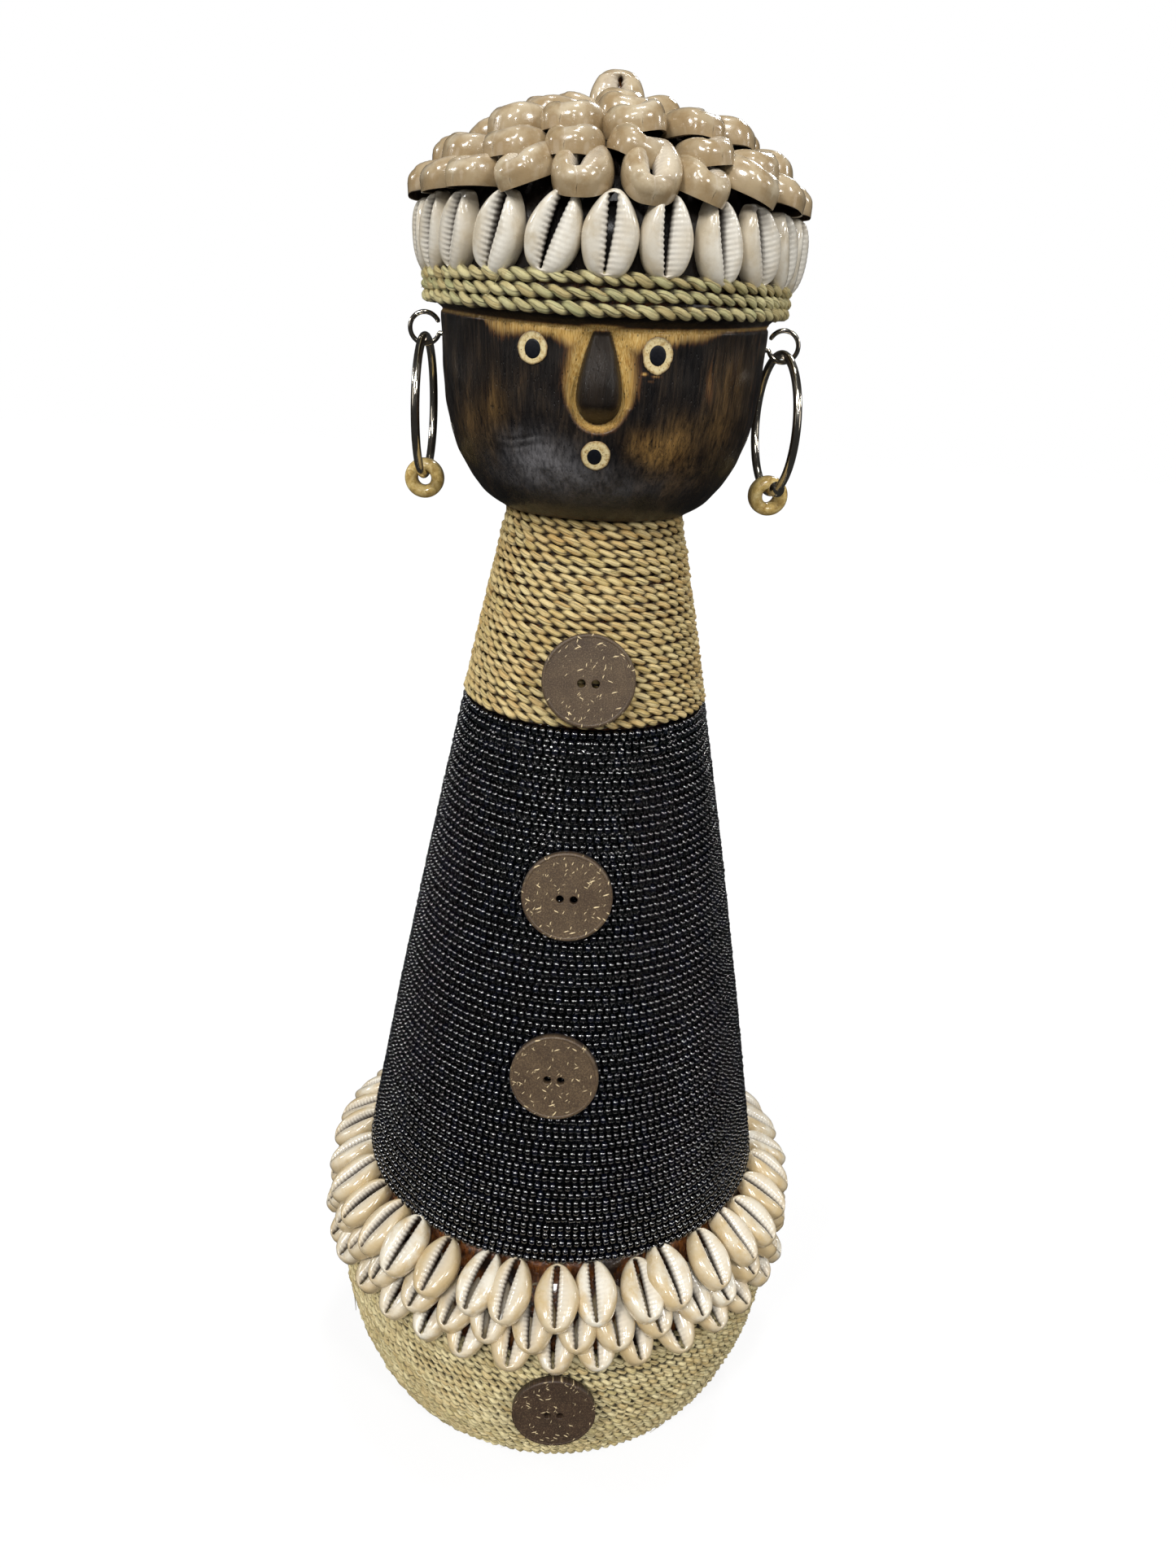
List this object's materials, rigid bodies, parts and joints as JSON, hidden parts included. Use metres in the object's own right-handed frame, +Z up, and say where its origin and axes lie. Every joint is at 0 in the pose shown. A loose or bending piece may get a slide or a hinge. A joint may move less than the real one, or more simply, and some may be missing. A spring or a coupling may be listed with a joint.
{
  "type": "fertility doll",
  "caption": "Standing conical doll with a carved wooden head, cowrie shell crown and collar, wound bead and rope body, coconut buttons and swinging hoop earrings.",
  "frame": {"origin": "middle of the underside of the base, on the surface it stands on", "axes": "+Z up through the crown, the face looks along -Y, the doll's right ear is towards -X"},
  "size_m": [0.1594, 0.1594, 0.3963],
  "materials": {
    "brown_wood": "glossy",
    "burnt_wood": "satin",
    "straw_rope": "matte",
    "pale_straw_rope": "matte",
    "black_glass_beads": "glossy",
    "cowrie_shell": "glossy",
    "white_cowrie_shell": "glossy",
    "coconut_shell": "satin",
    "pale_inlay": "matte",
    "dark_inlay": "satin",
    "plated_steel": "polished",
    "ochre_bead": "glossy"
  },
  "bodies": {
    "doll": {"base_core": "brown_wood", "base_dowel": "brown_wood", "base_rope": "pale_straw_rope", "body_core": "brown_wood", "bead_winding": "black_glass_beads", "neck_rope": "straw_rope", "neck_dowel": "brown_wood", "head_block": "burnt_wood", "head_rope_band": "straw_rope", "left_eye_disc": "pale_inlay", "left_eye_pupil": "dark_inlay", "right_eye_disc": "pale_inlay", "right_eye_pupil": "dark_inlay", "mouth_disc": "pale_inlay", "mouth_pupil": "dark_inlay", "button_1": "coconut_shell", "button_2": "coconut_shell", "button_3": "coconut_shell", "button_4": "coconut_shell", "left_screw_eye": "plated_steel", "right_screw_eye": "plated_steel", "collar_tier_1": "white_cowrie_shell", "collar_tier_2": "white_cowrie_shell", "collar_tier_3": "white_cowrie_shell", "crown_tier_1": "cowrie_shell", "crown_tier_2": "cowrie_shell", "crown_tier_3": "cowrie_shell", "crown_tier_4": "cowrie_shell", "crown_tier_5": "cowrie_shell", "crown_apex_shell": "cowrie_shell", "row_shell_01": "cowrie_shell", "row_shell_02": "cowrie_shell", "row_shell_03": "cowrie_shell", "row_shell_04": "cowrie_shell", "row_shell_05": "cowrie_shell", "row_shell_06": "cowrie_shell", "row_shell_07": "cowrie_shell", "row_shell_08": "cowrie_shell", "row_shell_09": "cowrie_shell", "row_shell_10": "cowrie_shell", "row_shell_11": "cowrie_shell", "row_shell_12": "cowrie_shell", "row_shell_13": "cowrie_shell", "row_shell_14": "cowrie_shell", "row_shell_15": "cowrie_shell", "row_shell_16": "cowrie_shell", "row_shell_17": "cowrie_shell", "row_shell_18": "cowrie_shell", "row_shell_19": "cowrie_shell", "row_shell_20": "cowrie_shell", "row_shell_21": "cowrie_shell", "row_shell_22": "cowrie_shell"},
    "left_hoop": {"left_hoop": "plated_steel"},
    "left_bead": {"left_hoop_bead": "ochre_bead"},
    "right_hoop": {"right_hoop": "plated_steel"},
    "right_bead": {"right_hoop_bead": "ochre_bead"}
  },
  "joints": [
    {"name": "left_hoop_swing", "type": "hinge", "parent": "doll", "child": "left_hoop", "pos_m": [-0.0476, 0, 0.33], "axis": [1, 0, 0], "range_deg": [-40, 40]},
    {"name": "left_bead_slide", "type": "hinge", "parent": "left_hoop", "child": "left_bead", "pos_m": [-0.0476, 0, 0.3141], "axis": [1, 0, 0], "range_deg": [-95, 95]},
    {"name": "right_hoop_swing", "type": "hinge", "parent": "doll", "child": "right_hoop", "pos_m": [0.0478, 0, 0.3303], "axis": [0.9848, 0.1736, 0], "range_deg": [-40, 40]},
    {"name": "right_bead_slide", "type": "hinge", "parent": "right_hoop", "child": "right_bead", "pos_m": [0.0478, 0, 0.3144], "axis": [0.9848, 0.1736, 0], "range_deg": [-8, 95]}
  ]
}
